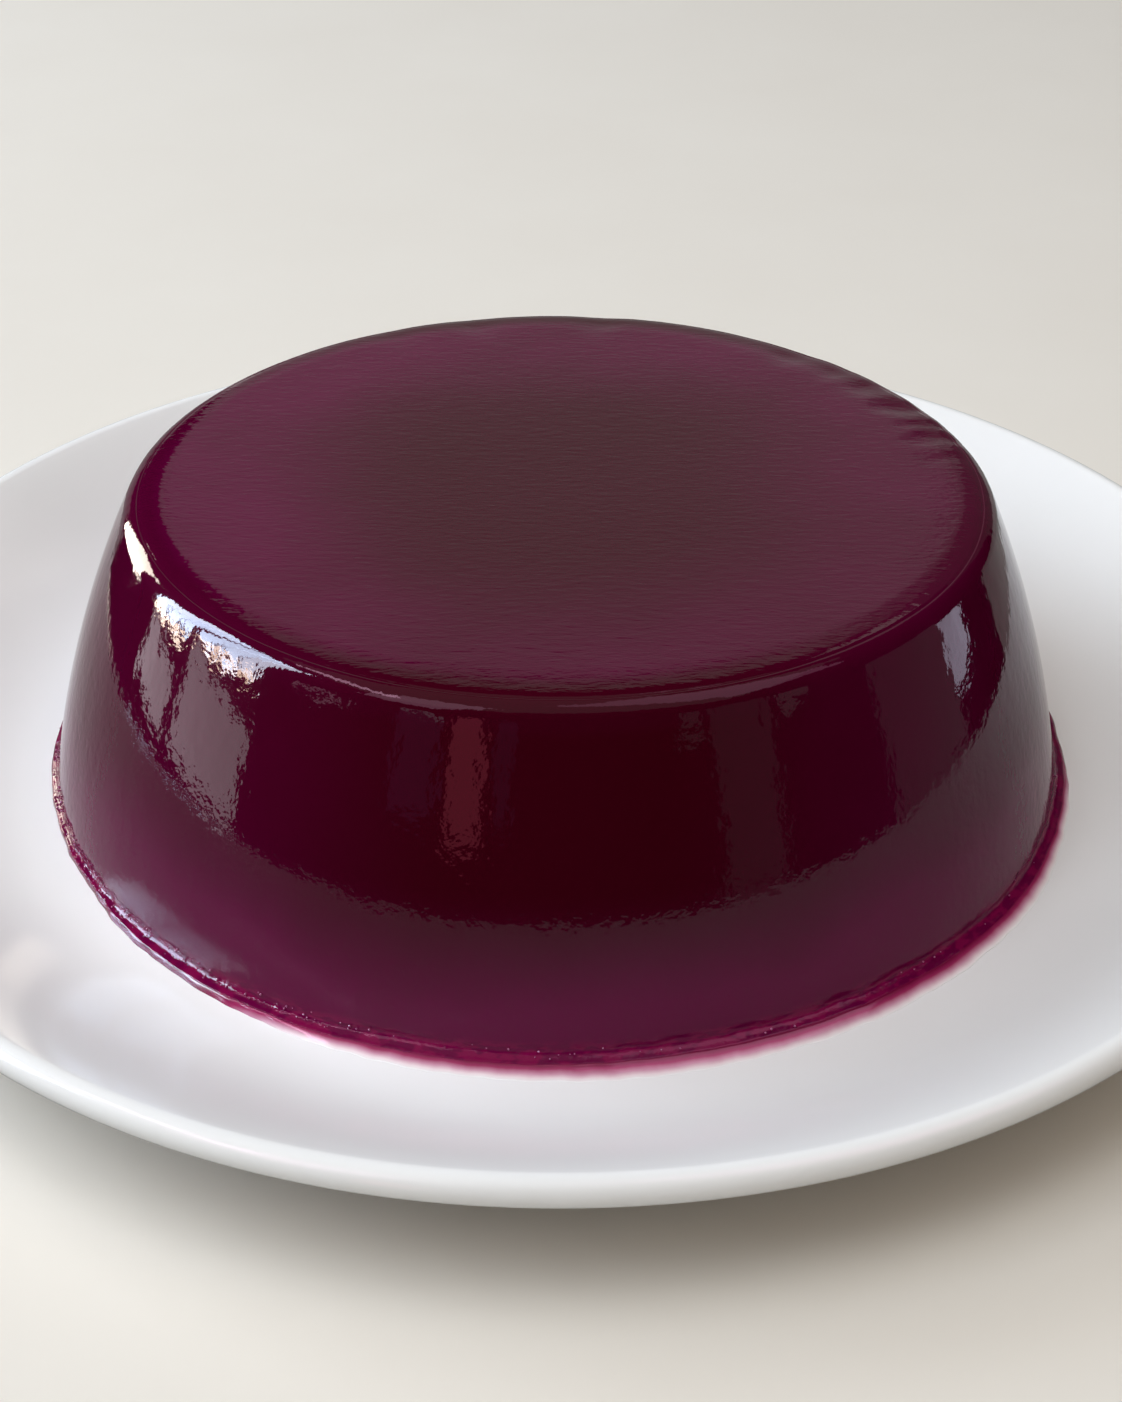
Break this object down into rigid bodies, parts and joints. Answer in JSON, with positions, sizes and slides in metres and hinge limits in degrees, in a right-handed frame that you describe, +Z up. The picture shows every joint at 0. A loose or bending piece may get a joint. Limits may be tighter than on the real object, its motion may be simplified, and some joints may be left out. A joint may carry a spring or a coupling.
{
  "type": "moulded jelly on a plate",
  "caption": "Round turned-out fruit jelly, dark purple and glossy, with a flat top, soft shoulder and flared sides, on a white coupe plate.",
  "frame": {"origin": "centre of the plate's foot ring, on the plane it rests on", "axes": "+Z up along the plate's and the jelly's common axis; -Y is the front, +X the right as seen from the front"},
  "size_m": [0.27, 0.27, 0.0638],
  "materials": {
    "plate": "gloss white glaze on porcelain, with an unglazed foot ring",
    "jelly": null
  },
  "bodies": {
    "root": {"plate": "plate", "jelly": "jelly"}
  },
  "joints": []
}
